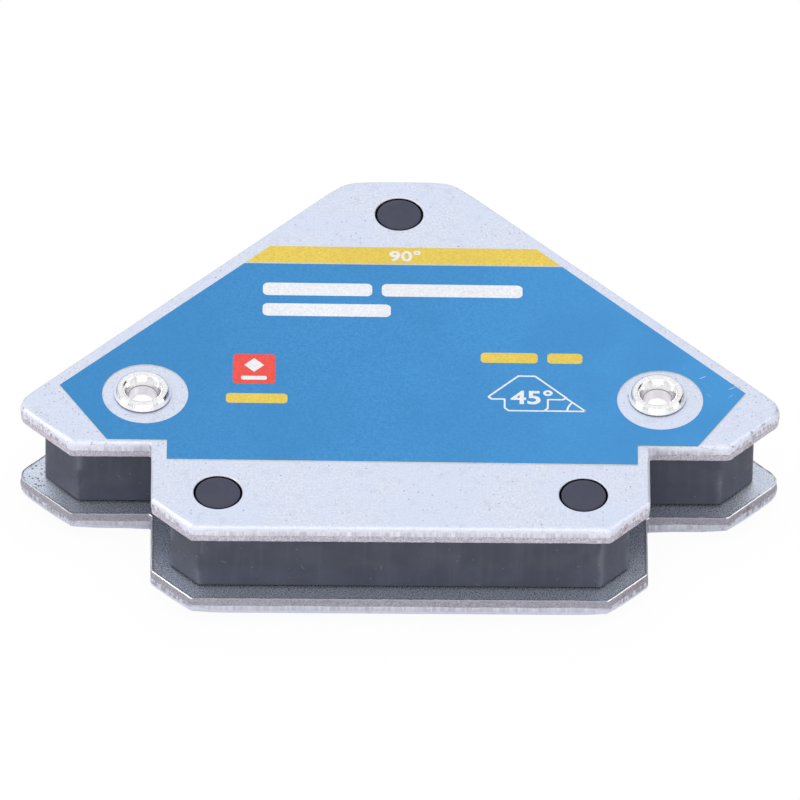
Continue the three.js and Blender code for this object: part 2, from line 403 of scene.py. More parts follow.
class Nodes:
    """The node tree of a material or a world. Its methods add nodes and return the result's socket."""

    def __init__(self, owner):
        owner.use_nodes = True
        self.nodes = owner.node_tree.nodes
        self.links = owner.node_tree.links

    def feed(self, socket, value):
        if isinstance(value, bpy.types.NodeSocket):
            self.links.new(value, socket)
        else:
            socket.default_value = value

    def add(self, kind, inputs=None, **settings):
        """A new node. Its inputs are values or sockets, by name or by number."""
        node = self.nodes.new("ShaderNode" + kind)
        for name, value in settings.items():
            setattr(node, name, value)
        for key, value in (inputs or {}).items():
            self.feed(node.inputs[key], value)
        return node

    def vector(self, operation, *values):
        return self.add("VectorMath", dict(enumerate(values)), operation=operation).outputs[0]

    def math(self, operation, *values):
        return self.add("Math", dict(enumerate(values)), operation=operation).outputs[0]

    def times(self, *values):
        return reduce(partial(self.math, "MULTIPLY"), values)

    def plus(self, *values):
        return reduce(partial(self.math, "ADD"), values)

    def highest(self, *values):
        return reduce(partial(self.math, "MAXIMUM"), values)

    def unsigned(self, value):
        return self.math("ABSOLUTE", value)

    def ramp(self, value, start, end, low, high, kind="LINEAR"):
        """From low to high as the value goes from start to end."""
        inputs = dict(enumerate((value, start, end, low, high)))
        return self.add("MapRange", inputs, interpolation_type=kind).outputs[0]

    def step(self, value, start, end, low=0.0, high=1.0):
        """Like ramp, with smooth ends."""
        return self.ramp(value, start, end, low, high, "SMOOTHSTEP")


class Shader(Nodes):
    """A material whose pattern coordinates are millimetres in the CAD frame."""

    def __init__(self, name):
        self.material = bpy.data.materials.new(name)
        super().__init__(self.material)
        self.place = self.vector("MULTIPLY", self.add("TexCoord").outputs["Object"], (1 / MM,) * 3)

    def noise(self, scale, detail=2.0, roughness=0.5, place=None):
        """Noise between about 0.3 and 0.7. The scale is cycles per millimetre, one value or one per axis."""
        place = self.place if place is None else place
        if isinstance(scale, tuple):
            place = self.vector("MULTIPLY", place, scale)
            scale = 1.0
        inputs = {"Vector": place, "Scale": scale, "Detail": detail, "Roughness": roughness}
        return self.add("TexNoise", inputs).outputs["Fac"]

    def cells(self, scale):
        """Distance from the nearest of scattered points, a little distorted, and a random value for each."""
        wobble = self.add("TexNoise", {"Vector": self.place, "Scale": 2.2 * scale}).outputs["Color"]
        place = self.vector("ADD", self.place, self.vector("MULTIPLY", wobble, (0.5 / scale,) * 3))
        node = self.add("TexVoronoi", {"Vector": place, "Scale": scale})
        return node.outputs["Distance"], self.add("SeparateColor", {0: node.outputs["Color"]}).outputs[0]

    def mix(self, factor, a, b):
        """Colour a where the factor is 0, and colour b where it is 1."""
        return self.add("Mix", {0: factor, 6: a, 7: b}, data_type="RGBA").outputs[2]

    def blend(self, factor, a, b):
        """Like mix, for plain values."""
        return self.add("Mix", {0: factor, 2: a, 3: b}).outputs[0]

    def zone(self):
        return self.add("Attribute", attribute_name="zone").outputs["Fac"]

    def coordinate(self, axis):
        return self.add("SeparateXYZ", {0: self.place}).outputs[axis]

    def facing_sideways(self):
        """How far a face turns towards either tip."""
        normal = self.add("TexCoord").outputs["Normal"]
        return self.unsigned(self.add("SeparateXYZ", {0: normal}).outputs[0])

    def near(self, x, y, reach, fade=None):
        """1 about a point of the plan, falling to 0 at a reach in millimetres."""
        plan = self.vector("MULTIPLY", self.place, (1, 1, 0))
        node = self.add("VectorMath", {0: plan, 1: (x, y, 0)}, operation="DISTANCE")
        return self.step(node.outputs["Value"], reach, reach - (fade or 0.7 * reach))

    def scratches(self, axes, scale, long, thick, share):
        """Short straight scratches at random angles in the plane of two axes, in a share of the cells."""
        flat = self.add("CombineXYZ", {k: self.coordinate(axis) for k, axis in enumerate(axes)}).outputs[0]
        cell = self.add("TexVoronoi", {"Vector": flat, "Scale": scale}, voronoi_dimensions="2D")
        chance = self.add("SeparateColor", {0: cell.outputs["Color"]})
        from_middle = self.vector("SUBTRACT", flat, cell.outputs["Position"])
        spin = {"Vector": from_middle, "Angle": self.times(chance.outputs[0], math.pi)}
        turned_place = self.add("VectorRotate", spin, rotation_type="Z_AXIS").outputs[0]
        split = self.add("SeparateXYZ", {0: turned_place})
        along = self.step(self.unsigned(split.outputs[0]), long / 2, long / 4)
        across = self.step(self.unsigned(split.outputs[1]), thick / 2, thick / 6)
        chosen = self.step(chance.outputs[1], 1 - share, 1 - 0.9 * share)
        return self.times(along, across, chosen)

    def pits(self, scale, size, share):
        """Small round pits, one in a share of the cells. The size is a share of a cell."""
        distance, chance = self.cells(scale)
        chosen = self.step(chance, 1 - share, 1 - 0.85 * share)
        return self.times(self.step(distance, size, 0.3 * size), chosen)

    def finish(self, colour, roughness, metallic, height, **extra):
        """The finished material. The height of its bumps is in millimetres."""
        bump = self.add("Bump", {"Strength": 1.0, "Distance": MM, "Height": height}).outputs[0]
        inputs = {"Base Color": colour, "Roughness": roughness, "Metallic": metallic, "Normal": bump, **extra}
        for name, value in inputs.items():
            self.feed(self.nodes["Principled BSDF"].inputs[name], value)
        return self.material


RUST_AT = ((29.5, -29.5, 4.5), (42.5, -14.0, 3.5))  # x, y and reach

EdgeColours = namedtuple("EdgeColours", "dark_shine light_shine dark_tear light_tear burr")

UPPER_EDGE = EdgeColours(
    dark_shine=rgb(210, 210, 222),
    light_shine=rgb(244, 244, 252),
    dark_tear=rgb(172, 166, 178),
    light_tear=rgb(236, 231, 242),
    burr=rgb(190, 188, 200),
)
# The lower plate's edge colours are a darker copy of the upper plate's: painted shade, for the shade it sits
# in near the floor.
SHADED_LOWER_EDGE = EdgeColours(
    dark_shine=rgb(200, 201, 212),
    light_shine=rgb(226, 228, 238),
    dark_tear=rgb(148, 146, 156),
    light_tear=rgb(198, 196, 206),
    burr=rgb(172, 172, 184),
)


def plating_pits(shader, wings):
    """A few large pits, more small ones, and worn patches of the smallest on the wings."""
    worn = shader.times(wings, shader.step(shader.noise(0.35, 3.0, 0.7), 0.45, 0.6))
    large = shader.pits(0.55, 0.12, 0.1)
    small = shader.times(shader.pits(1.7, 0.26, 0.16), 0.5)
    smallest = shader.times(shader.pits(2.6, 0.3, 0.5), shader.plus(worn, 0.12), 0.7)
    return shader.highest(large, small, smallest)


def plated_face(shader, grain, bloom, pits):
    """Dull zinc plating, as on a plate's outer face."""
    cloud = shader.noise(0.11, 3.0, 0.6)
    scrape = shader.scratches((0, 1), 0.3, 1.6, 0.06, 0.35)
    face = shader.mix(shader.step(grain, 0.3, 0.7), rgb(214, 221, 240), rgb(239, 244, 255))
    face = shader.mix(shader.step(cloud, 0.35, 0.65, 0.0, 0.5), face, rgb(222, 231, 254))
    face = shader.mix(shader.step(bloom, 0.52, 0.75, 0.0, 0.4), face, rgb(206, 211, 228))
    face = shader.mix(shader.times(pits, 0.85), face, rgb(92, 84, 86))
    return shader.mix(shader.times(scrape, 0.25), face, rgb(160, 160, 172))


def speckled_face(shader, speckle, wings, tips, patches, pits):
    """Bright speckled plating, as on a plate's inner face, with duller patches and painted light at the tips:
    fewer dark grains, and a paler tone on the wings.
    """
    # Fewer dark grains towards the tips: painted light.
    grains = shader.times(shader.step(speckle, 0.48, 0.38), shader.blend(tips, 0.4, 0.2))
    patch = shader.mix(shader.step(speckle, 0.4, 0.6), rgb(190, 202, 228), rgb(238, 245, 255))
    face = shader.mix(shader.step(speckle, 0.42, 0.62), rgb(208, 222, 248), WHITE)
    face = shader.mix(grains, face, rgb(96, 106, 124))
    # Paler towards the wings: painted light, where light reaches past the other plate.
    face = shader.mix(shader.times(wings, 0.4), face, rgb(246, 250, 255))
    face = shader.mix(patches, face, patch)
    return shader.mix(shader.times(pits, 0.95), face, rgb(52, 49, 52))


def zinc_steel(name, edge):
    """Zinc plating on both faces, and the bands of a sheared edge between them, told apart by their zone."""
    shader = Shader(name)
    zone = shader.zone()
    rolled = shader.step(zone, 0.05, 0.7)
    burnished = shader.step(zone, 0.85, 1.05)
    torn = shader.step(zone, 2.0, 2.2)
    burr = shader.step(zone, 2.9, 3.1)
    inside = shader.step(zone, 3.7, 3.9)
    punched = shader.step(zone, 4.5, 4.9)
    across = shader.coordinate(0)
    wings = shader.step(shader.unsigned(across), 32.0, 44.0)
    tips = shader.step(shader.unsigned(across), 41.5, 45.5)

    grain = shader.noise(3.2, 4.0, 0.65)
    bloom = shader.noise(0.7, 3.0, 0.6)
    streak = shader.noise((2.6, 2.6, 0.1), 3.0, 0.6)
    scored = shader.noise((2.6, 2.6, 0.7), 4.0, 0.75)
    crumb = shader.noise(4.5, 4.0, 0.75)
    speckle = shader.noise(4.6, 4.0, 0.9)
    nicks = shader.step(shader.noise(1.7, 4.0, 0.7), 0.58, 0.66)
    nicks = shader.blend(inside, shader.times(nicks, rolled, shader.plus(wings, 0.35)), 0.0)
    pits = plating_pits(shader, wings)
    chips = shader.times(shader.pits(2.6, 0.5, 0.45), shader.step(across, -43.5, -45.0))
    inner_pits = shader.highest(pits, shader.times(chips, inside))
    patches = shader.times(tips, shader.step(bloom, 0.36, 0.56, 0.5, 0.9))

    sideways = shader.facing_sideways()
    shine = shader.mix(shader.step(streak, 0.3, 0.7), edge.dark_shine, edge.light_shine)
    # Burnished bands on faces turned towards either tip take a darker scored pattern: a scored texture,
    # darkened there as painted shade.
    scored_side_shade = shader.mix(shader.step(scored, 0.38, 0.62), edge.dark_tear, edge.light_shine)
    shine = shader.mix(shader.step(sideways, 0.3, 0.6, 0.0, 0.85), shine, scored_side_shade)
    rusty = shader.step(shader.noise(1.1, 4.0, 0.65), 0.5, 0.62)
    rust = shader.times(rusty, shader.highest(*[shader.near(*at) for at in RUST_AT]), 0.6)
    tear = shader.mix(shader.step(crumb, 0.3, 0.7), edge.dark_tear, edge.light_tear)
    tear = shader.mix(rust, tear, rgb(150, 112, 96))
    # Burrs on faces turned towards either tip, less so at the left tip, are painted white and made glossier:
    # a painted highlight.
    bright = shader.times(shader.step(sideways, 0.12, 0.3), shader.step(across, -36.0, -33.0, 0.35, 1.0))

    colour = plated_face(shader, grain, bloom, pits)
    colour = shader.mix(shader.times(rolled, 0.5), colour, rgb(232, 228, 238))
    colour = shader.mix(shader.times(nicks, 0.6), colour, rgb(140, 130, 134))
    colour = shader.mix(burnished, colour, shine)
    colour = shader.mix(torn, colour, tear)
    colour = shader.mix(burr, colour, shader.mix(bright, edge.burr, WHITE))
    colour = shader.mix(inside, colour, speckled_face(shader, speckle, wings, tips, patches, inner_pits))
    # The walls of the punched holes are painted dark: painted shade down the narrow gaps in the holes.
    colour = shader.mix(punched, colour, rgb(84, 84, 92))

    rough = shader.step(grain, 0.3, 0.7, 0.42, 0.56)
    rough = shader.blend(rolled, rough, 0.55)
    rough = shader.blend(burnished, rough, shader.step(streak, 0.3, 0.7, 0.35, 0.55))
    rough = shader.blend(torn, rough, 0.62)
    rough = shader.blend(burr, rough, shader.blend(bright, 0.6, 0.3))
    inner_rough = shader.blend(patches, shader.step(speckle, 0.36, 0.64, 0.2, 0.4), 0.34)
    rough = shader.blend(inside, rough, inner_rough)

    height = shader.plus(
        shader.times(grain, 0.012),
        shader.times(inner_pits, -0.04),
        shader.times(bloom, 0.02),
        shader.times(nicks, -0.05),
        shader.times(streak, burnished, 0.03),
        shader.times(crumb, torn, shader.blend(inside, 0.06, 0.0)),
        shader.times(speckle, inside, 0.035),
    )
    metal = shader.blend(inside, 0.92, shader.blend(patches, 0.85, 0.35))
    return shader.finish(colour, rough, metal, height)


FLOOR_GLOW = 0.22  # of the bore's floor, for light that finds its way down the bright bore


def nickel(name, at):
    """Bright plating on a rivet, drawn into fine streaks over its clinched end, and duller down its bore.
    Its foot and its bore's mouth carry painted shade, and its bore's floor is painted white and glows:
    painted light.
    """
    shader = Shader(name)
    face = PLATE_HIGH.z
    arm = shader.vector("MULTIPLY", shader.vector("SUBTRACT", shader.place, (at.x, at.y, 0)), (1, 1, 0))
    streak = shader.noise((11.0, 11.0, 1.0), 3.0, 0.6, shader.vector("NORMALIZE", arm))
    patch = shader.noise(0.9, 3.0, 0.6)

    height = shader.coordinate(2)
    bore = shader.step(height, face - 0.8 * THROAT_DEPTH, face - 1.3 * THROAT_DEPTH)
    floor = shader.step(height, face - BORE_DEPTH + 0.1, face - BORE_DEPTH)
    low_down = shader.step(height, face + 0.22, face + 0.14)
    skirt_shade = shader.math("SUBTRACT", low_down, shader.near(at.x, at.y, FLANGE_RADIUS - 0.25, 0.1))
    under_crest = shader.step(height, face + FLANGE_SLOPE_TOP + 0.1, face + FLANGE_SLOPE_TOP - 0.25)
    slope = shader.math("SUBTRACT", under_crest, shader.near(at.x, at.y, FLANGE_SLOPE_RADIUS - 0.1, 0.1))
    from_mouth = shader.math("SUBTRACT", height, face - THROAT_DEPTH)
    mouth_shade = shader.step(shader.unsigned(from_mouth), 0.1, 0.04)

    colour = shader.mix(shader.step(streak, 0.35, 0.65), rgb(238, 238, 240), rgb(252, 252, 253))
    colour = shader.mix(bore, colour, rgb(240, 238, 242))
    # The bore's floor is painted white: painted light.
    colour = shader.mix(floor, colour, WHITE)
    # The flange's foot by the plate is painted darker and duller: painted shade.
    colour = shader.mix(skirt_shade, colour, rgb(150, 148, 154))
    # A dark line round the bore's mouth: painted shade.
    colour = shader.mix(shader.times(mouth_shade, 0.75), colour, rgb(120, 116, 120))
    rough = shader.plus(shader.step(streak, 0.3, 0.7, 0.08, 0.14), shader.step(patch, 0.4, 0.7, 0.0, 0.1))
    rough = shader.blend(slope, rough, 0.3)
    rough = shader.blend(bore, rough, 0.28)
    rough = shader.blend(shader.highest(skirt_shade, mouth_shade), rough, 0.6)
    raised = shader.plus(shader.times(streak, shader.blend(bore, 0.022, 0.003)), shader.times(patch, 0.04))
    metal = shader.blend(floor, shader.blend(slope, 1.0, 0.35), 0.25)
    # The bore's floor glows: painted light, for the light that reaches down the bore.
    glow = {"Emission Color": WHITE, "Emission Strength": shader.times(floor, FLOOR_GLOW)}
    return shader.finish(colour, rough, metal, raised, **glow)


def moulded_plastic():
    """Satin dark plastic with faint flow marks, pale worn corners, a few short scuffs, and painted shade
    where the core meets each plate.
    """
    shader = Shader("dark_plastic")
    grain = shader.noise(4.0, 3.0, 0.6)
    cloud = shader.noise(0.25, 3.0, 0.6)
    flow = shader.noise((1.2, 1.2, 0.08), 3.0, 0.6)
    worn = shader.times(shader.zone(), shader.step(shader.noise((0.5, 0.5, 0.3), 2.0), 0.42, 0.6))
    scuffs = shader.highest(
        shader.scratches((0, 2), 0.22, 1.5, 0.09, 0.4),
        shader.scratches((0, 2), 0.6, 0.4, 0.1, 0.2),
    )
    scuffs = shader.times(scuffs, shader.step(shader.noise(1.6, 2.0), 0.4, 0.6))
    from_middle = shader.unsigned(shader.coordinate(2))
    # A near-black, rough band where the core meets each plate: painted shade in the groove there.
    groove_shade = shader.times(
        shader.step(from_middle, CORE_HIGH.z - 0.34, CORE_HIGH.z - 0.22),
        shader.step(from_middle, CORE_HIGH.z + 0.2, CORE_HIGH.z + 0.1),
    )
    ends = shader.step(from_middle, PLATE_LOW.z + 1.0, PLATE_LOW.z + 1.5, 0.0, 0.6)

    colour = shader.mix(shader.step(cloud, 0.3, 0.7), rgb(54, 57, 72), rgb(65, 68, 83))
    colour = shader.mix(shader.step(flow, 0.45, 0.75, 0.0, 0.3), colour, rgb(80, 84, 98))
    colour = shader.mix(shader.times(worn, 0.2), colour, rgb(150, 154, 166))
    colour = shader.mix(shader.times(scuffs, 0.5), colour, rgb(150, 154, 164))
    colour = shader.mix(groove_shade, colour, rgb(22, 24, 32))
    colour = shader.mix(ends, colour, rgb(47, 51, 76))
    rough = shader.blend(groove_shade, shader.step(grain, 0.3, 0.7, 0.36, 0.5), 0.9)
    height = shader.plus(shader.times(grain, 0.008), shader.times(cloud, 0.03))
    return shader.finish(colour, rough, 0.0, height)


def ferrite():
    """Sintered ferrite: dark, dull and granular, with ground faces."""
    shader = Shader("ferrite")
    grain = shader.noise(6.0, 4.0, 0.7)
    ground = shader.noise((0.2, 6.0, 6.0), 2.0, 0.6)
    colour = shader.mix(shader.step(grain, 0.3, 0.7), rgb(38, 37, 40), rgb(66, 65, 70))
    rough = shader.step(ground, 0.3, 0.7, 0.55, 0.75)
    height = shader.plus(shader.times(grain, 0.02), shader.times(ground, 0.01))
    return shader.finish(colour, rough, 0.15, height)


PRINT_DARK = 0.78  # a dark grain's colour, as a share of the ink's
PRINT_LIGHT = 0.02  # how far light grains go towards white
FLAKES_AT = ((40.5, -3.5, 6.0), (26.0, 14.0, 4.0))  # x, y and reach of scratched print


def printed(name, colour, painted_light_ramp=0.0):
    """Ink on film, with fine print grain, faint clouds and a few flakes. With a painted light ramp, the ink
    is darker to the left and paler to the right: painted light.
    """
    shader = Shader(name)
    grain = shader.noise(3.6, 3.0, 0.7)
    across = shader.coordinate(0)
    dark = tuple(c * PRINT_DARK for c in colour[:3]) + (1.0,)
    light = tuple(c + (1 - c) * PRINT_LIGHT for c in colour[:3]) + (1.0,)
    ink = shader.mix(shader.step(grain, 0.3, 0.7), dark, light)
    # Darker to the left and paler to the right: painted light.
    ink = shader.mix(shader.step(across, -45.0, 10.0, 0.5 * painted_light_ramp, 0.0), ink, dark)
    ink = shader.mix(shader.step(across, -10.0, 45.0, 0.0, 0.7 * painted_light_ramp), ink, light)
    ink = shader.mix(shader.step(shader.noise(0.1, 2.0), 0.4, 0.65, 0.0, 0.3), ink, dark)
    flakes = shader.scratches((0, 1), 0.55, 1.1, 0.14, 0.5)
    worn = shader.highest(*[shader.near(*at) for at in FLAKES_AT])
    ink = shader.mix(shader.times(flakes, worn), ink, rgb(196, 218, 242))
    return shader.finish(ink, shader.step(grain, 0.3, 0.7, 0.44, 0.52), 0.0, shader.times(grain, 0.004))


# ---- Parts ----


def corner_gains(outline, corners):
    """How far each point's edge is drawn down: more round outer corners, and less in a notch."""
    gains = []
    for at, _ in outline:
        gain = 1.0
        for i, (x, y, radius) in enumerate(corners):
            before = Vector(corners[i - 1][:2]) - Vector((x, y))
            after = Vector(corners[(i + 1) % len(corners)][:2]) - Vector((x, y))
            outer = after.cross(before) > 0
            extra = min(CORNER_ROLL, 0.9 * (radius - SUPPORT) / ROLL - 1) if outer else -0.5
            gain += extra * math.exp(-(((at - Vector((x, y))).length / CORNER_REACH) ** 2))
        gains.append(gain)
    return gains


def plate_rows(outer, inner):
    """The section of a blanked edge, from the z of the rolled outer face to that of the burred inner face."""
    up = 1 if outer > inner else -1
    rows = [Row(SUPPORT, outer, roll=ROLL)]
    roll_steps = 8
    for k in range(roll_steps + 1):
        angle = math.pi / 2 * k / roll_steps
        drop = -up * ROLL * ROLL_DROP * (1 - math.cos(angle))
        wear = WEAR * math.sin(angle)
        rows.append(Row(0, outer, k / roll_steps, ROLL * (1 - math.sin(angle)), drop, broad=wear))
    sheared = outer - up * SHEAR_DEPTH
    rows.append(Row(0, sheared, 1.95, fine=0.006, broad=WEAR, sway=0.12, teeth=0.03))
    top = sheared - up * 0.05
    foot = inner + up * 0.06
    tear_steps = 5
    for k in range(tear_steps):
        share = k / tear_steps
        taper = 0.02 + share * (TEAR_TAPER - 0.02)
        z = top * (1 - share) + foot * share
        rows.append(Row(taper, z, 2.2 + 0.6 * share, fine=0.024, broad=WEAR, sway=0.12 * (1 - share)))
    rows += [
        Row(TEAR_TAPER, foot, 2.85, fine=0.02, broad=WEAR, teeth=0.03),
        Row(TEAR_TAPER + 0.02, inner, 3.2, fine=0.015, broad=WEAR, teeth=0.04),
        Row(TEAR_TAPER + 0.1, inner - up * BURR, 3.2, fine=0.01, broad=WEAR, teeth=0.06),
        Row(TEAR_TAPER + 0.7 * BURR_WIDTH, inner - up * 0.5 * BURR, 3.4, broad=WEAR, teeth=0.02),
        Row(TEAR_TAPER + BURR_WIDTH, inner, 4.0, broad=WEAR),
        Row(ROLL + SUPPORT, inner, 4.0),
    ]
    return rows


def hole_rows(outer, inner):
    """The wall of a punched hole, lightly rolled at the outer face."""
    up = 1 if outer > inner else -1
    rows = [Row(1.8 * PUNCH_ROLL, outer)]
    roll_steps = 4
    for k in range(roll_steps + 1):
        angle = math.pi / 2 * k / roll_steps
        drop = up * PUNCH_ROLL * (1 - math.cos(angle))
        rows.append(Row(PUNCH_ROLL * (1 - math.sin(angle)), outer - drop, k / roll_steps))
    return rows + [
        Row(0, outer - up * (PUNCH_ROLL + 0.04), 5.0),
        Row(0, inner + up * 0.05, 5.0),
        Row(0.05, inner, 4.0),
        Row(0.25, inner, 4.0),
    ]


def add_plate(name, node, outer, inner, steel):
    solid = Solid()
    holes = [hole(at.x, at.y, PEG_HOLE_RADIUS) for at in PEGS.values()]
    holes += [hole(at.x, at.y, SHANK_RADIUS + CLEARANCE) for at in RIVETS.values()]
    corners = plate_corners()
    outline = rounded(corners, EDGE_STEP)
    edges = [solid.wall(outline, plate_rows(outer, inner), corner_gains(outline, corners))]
    edges += [solid.wall(rim, hole_rows(outer, inner)) for rim in holes]
    solid.cap([first for first, _ in edges])
    solid.cap([last for _, last in edges])
    add_piece(name, solid, steel, node)


def pocket(node):
    low, high = box(node)
    gap = POCKET_CLEARANCE
    return rounded(rectangle(low.x - gap, low.y - gap, high.x + gap, high.y + gap, POCKET_RADIUS))


def coring_windows():
    """Openings in the right half that keep the core's walls even."""
    apex_low, _ = box("apex_magnet")
    base_low, base_high = box("right_magnet")
    wall = POCKET_CLEARANCE + CORE_WALL
    x = -apex_low.x + wall
    sill = base_high.y + wall
    slope = nose_half() + BASE_Y + NOSE_RISE - (CORE_INSET + CORE_WALL) * math.sqrt(2)
    beside_apex = [
        (x, sill, CORING_RADIUS),
        (slope - sill, sill, CORING_RADIUS),
        (x, slope - x, CORING_RADIUS),
    ]
    peg_wall = PEGS["right_base_peg"].x - PEG_SEAT_RADIUS - CORE_WALL
    foot = BASE_Y + CORE_INSET + CORE_WALL
    under_base = rectangle(CORE_WALL / 2, foot, peg_wall, base_low.y - wall, CORING_RADIUS)
    return [beside_apex, under_base]


def add_core(plastic):
    solid = Solid()
    low, high = CORE_LOW.z, CORE_HIGH.z
    rows = [Row(CORE_FOOT, low), Row(CORE_FOOT, low + CORE_FOOT_HEIGHT)]
    for angle in (0, math.pi / 6, math.pi / 3, math.pi / 2):
        rise = CORE_FOOT_HEIGHT + CORE_EDGE * (1 - math.cos(angle))
        rows.append(Row(CORE_EDGE * (1 - math.sin(angle)), low + rise))
    rows += [row._replace(z=low + high - row.z) for row in reversed(rows)]
    corners = inset(plate_corners(), CORE_INSET, CORE_ROUNDING)
    outline = rounded(corners, 2 * EDGE_STEP)
    plain = [Row(0, low), Row(0, high)]
    windows = coring_windows()
    holes = [pocket(node) for node in MAGNETS]
    holes += [rounded(window) for window in windows]
    holes += [rounded([(-x, y, radius) for x, y, radius in reversed(window)]) for window in windows]
    holes += [hole(at.x, at.y, PEG_SEAT_RADIUS) for at in PEGS.values()]
    holes += [hole(at.x, at.y, SHANK_RADIUS + CLEARANCE) for at in RIVETS.values()]
    edges = [solid.wall(outline, rows)] + [solid.wall(rim, plain) for rim in holes]
    solid.cap([first for first, _ in edges])
    solid.cap([last for _, last in edges])
    solid.zones = [worn_corner(at, corners) for at in solid.points]
    add_piece("core_moulding", solid, plastic, "plastic_core")


def worn_corner(at, corners):
    """1 on a corner of the core's outline, falling to 0 within about a millimetre."""
    distance = min((at.xy - Vector((x, y))).length for x, y, _ in corners)
    return math.exp(-((distance / 0.5) ** 2))


def arc(middle, wide, tall, start, end, steps):
    """Points along part of an ellipse. Angles are in degrees, 0 outwards and 90 upwards."""
    angles = [math.radians(start + (end - start) * k / steps) for k in range(steps + 1)]
    return [(middle[0] + wide * math.cos(a), middle[1] + tall * math.sin(a)) for a in angles]


def turned(at, profile, wander=None):
    """A solid of revolution. The profile runs from the axis below to the axis above."""
    solid = Solid()
    rings = []
    for radius, z in profile[1:-1]:
        points = []
        for angle in turns():
            far, high = wander(angle, z) if wander else (0, 0)
            reach = radius + far
            points.append(Vector((at.x + reach * math.cos(angle), at.y + reach * math.sin(angle), z + high)))
        rings.append(solid.ring(points))
    for ring, other in zip(rings, rings[1:]):
        solid.join(ring, other)
    solid.fan(rings[0], Vector((at.x, at.y, profile[0][1])))
    solid.fan(rings[-1], Vector((at.x, at.y, profile[-1][1])))
    return solid


def rivet_profile(low, high, head_radius):
    """From the middle of the domed head, up the shank and over the clinched end, to the bore's floor."""
    face = PLATE_HIGH.z
    head = low + HEAD_HEIGHT
    lip = face + FLANGE_GAP
    shoulder = high - face - FLANGE_SLOPE_TOP
    return [
        *arc((0, head - HEAD_RIM), head_radius, HEAD_HEIGHT - HEAD_RIM, -90, 0, 14),
        (head_radius, head),
        (SHANK_RADIUS, head),
        (SHANK_RADIUS, lip + 0.05),
        (FLANGE_RADIUS - 0.3, lip + 0.05),
        *arc((FLANGE_RADIUS - RIM_RADIUS, lip + RIM_RADIUS), RIM_RADIUS, RIM_RADIUS, -90, 30, 5),
        *arc((CREST_RADIUS, high - shoulder), FLANGE_SLOPE_RADIUS - CREST_RADIUS, shoulder, 30, 90, 12),
        *arc((CREST_RADIUS, high - THROAT_ROUND), THROAT_ROUND, THROAT_ROUND, 95, 152, 12),
        (BORE_RADIUS + BEVEL / 2, face - THROAT_DEPTH + BEVEL),
        (BORE_RADIUS, face - THROAT_DEPTH),
        (BORE_RADIUS, face - THROAT_DEPTH - BEVEL),
        (BORE_FLOOR_RADIUS + BEVEL, face - BORE_DEPTH + 3 * BEVEL),
        (BORE_FLOOR_RADIUS, face - BORE_DEPTH + BEVEL),
        (BORE_FLOOR_RADIUS - 0.1, face - BORE_DEPTH),
        (0, face - BORE_DEPTH),
    ]


def add_rivet(name):
    at = RIVETS[name]
    low, high = box(name)

    def wander(angle, z):
        """The clinched end is a little uneven, in waves round its rim."""
        share = min(1, max(0, z - PLATE_HIGH.z))
        wave = math.cos(2 * angle + at.x) + 0.6 * math.cos(5 * angle - at.x) + 0.3 * math.cos(11 * angle)
        return -0.01 * share * (wave + 1.9), -0.006 * share * (wave + 1.9)

    solid = turned(at, rivet_profile(low.z, high.z, (high.x - low.x) / 2), wander)
    add_piece(name + "_clinched", solid, nickel(name + "_steel", at), name)


def add_peg(name, plastic):
    at = PEGS[name]
    low, high = box(name)
    radius = (high.x - low.x) / 2
    upper = [
        (radius, high.z - PEG_EDGE),
        (radius - 0.3 * PEG_EDGE, high.z - 0.3 * PEG_EDGE),
        (radius - PEG_EDGE, high.z),
        (radius - 0.5, high.z - 0.2 * PEG_DISH),
        (0.55 * radius, high.z - 0.8 * PEG_DISH),
        (0, high.z - PEG_DISH),
    ]
    lower = [(r, low.z + high.z - z) for r, z in reversed(upper)]
    add_piece(name + "_moulding", turned(at, lower + upper), plastic, name)


def add_magnets():
    """The magnets keep their CAD shape, with ground edges."""
    material = ferrite()
    for name in MAGNETS:
        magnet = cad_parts[name]
        magnet.data.materials.clear()
        magnet.data.materials.append(material)
        edges = magnet.modifiers.new("ground_edges", "BEVEL")
        edges.width = 0.2 * MM
        edges.segments = 2


# ---- Label and its print ----


def on_label(at):
    """A point of the label's own frame, laid on the plate a little off square."""
    pivot = Vector((0, RIVETS["left_rivet"].y - BASE_Y))
    return Matrix.Rotation(LABEL_SKEW, 2) @ (at - pivot) + pivot + LABEL_SHIFT + Vector((0, BASE_Y))


def laid(outline):
    spin = Matrix.Rotation(LABEL_SKEW, 2)
    return [(on_label(at), spin @ normal) for at, normal in outline]


def label_openings(extra=0.0):
    """The openings for the rivets, laid on the plate."""
    right = RIVETS["right_rivet"]
    return [laid(hole(x, right.y - BASE_Y, LABEL_OPENING + extra)) for x in (-right.x, right.x)]


def blue_field():
    """The blue part of the label, which ends at the pale line under the yellow band."""
    corners = inset(label_corners(), PRINT_MARGIN)
    top = BAND_FOOT - BAND_LINE
    across = LABEL_TOP_HALF + LABEL_TOP - top - PRINT_MARGIN * math.sqrt(2)
    below = [corner for corner in corners if corner[0] > 0 and corner[1] < top]
    return mirrored([*below, (across, top, PRINT_CORNER)])


def yellow_band():
    margin = PRINT_MARGIN * math.sqrt(2)
    low_half = LABEL_TOP_HALF + LABEL_TOP - BAND_FOOT - margin
    top_half = LABEL_TOP_HALF + PRINT_MARGIN - margin
    return mirrored([(low_half, BAND_FOOT, PRINT_CORNER), (top_half, LABEL_TOP - PRINT_MARGIN, PRINT_CORNER)])


def ink(solid, corners, layer=1, holes=()):
    """A patch of print on the label. Later layers stand on earlier ones."""
    low = LABEL_HIGH.z + (layer - 1) * INK
    solid.slab(laid(rounded(corners)), [laid(rounded(rim)) for rim in holes], low, low + INK)
    return solid


